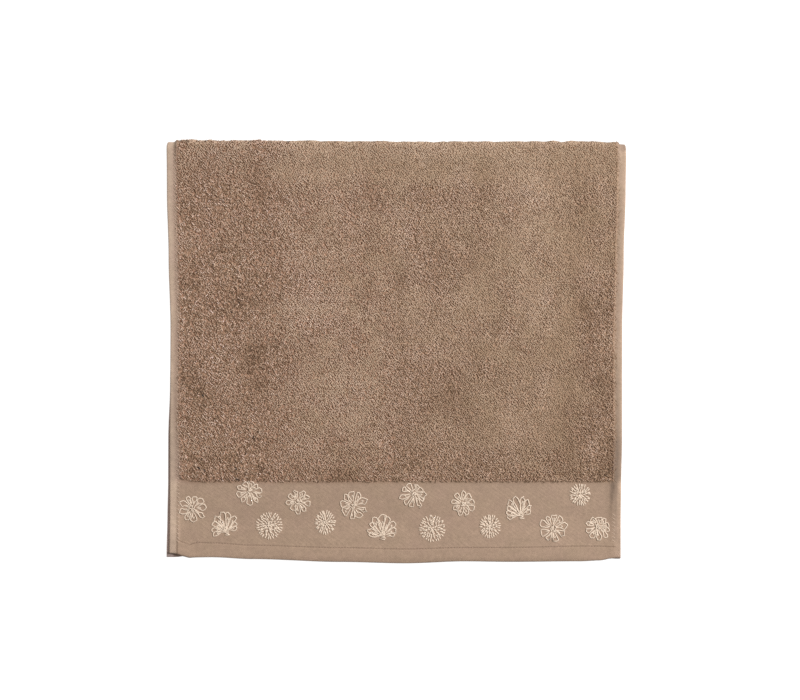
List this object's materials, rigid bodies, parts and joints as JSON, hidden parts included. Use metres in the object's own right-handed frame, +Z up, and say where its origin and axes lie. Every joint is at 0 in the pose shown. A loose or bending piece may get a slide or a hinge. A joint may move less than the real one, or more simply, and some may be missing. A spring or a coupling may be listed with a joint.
{
  "type": "hand towel",
  "caption": "Terry hand towel folded in half and lying flat, with side hems and a flat woven band of small embroidered flowers above its end hem.",
  "frame": {"origin": "bottom centre of the folded towel's bounding box, on the surface it lies on", "axes": "+Z up, +Y towards the fold, -Y towards the open end with the flower band on top, +X to the right when the flower band is nearest the viewer"},
  "size_m": [0.4976, 0.459, 0.013],
  "materials": {
    "terry_cloth": "matt cotton terry loops on both faces, with a smooth woven band and hems in a slightly lighter beige"
  },
  "bodies": {
    "root": {"towel_cloth": "terry_cloth"}
  },
  "joints": []
}
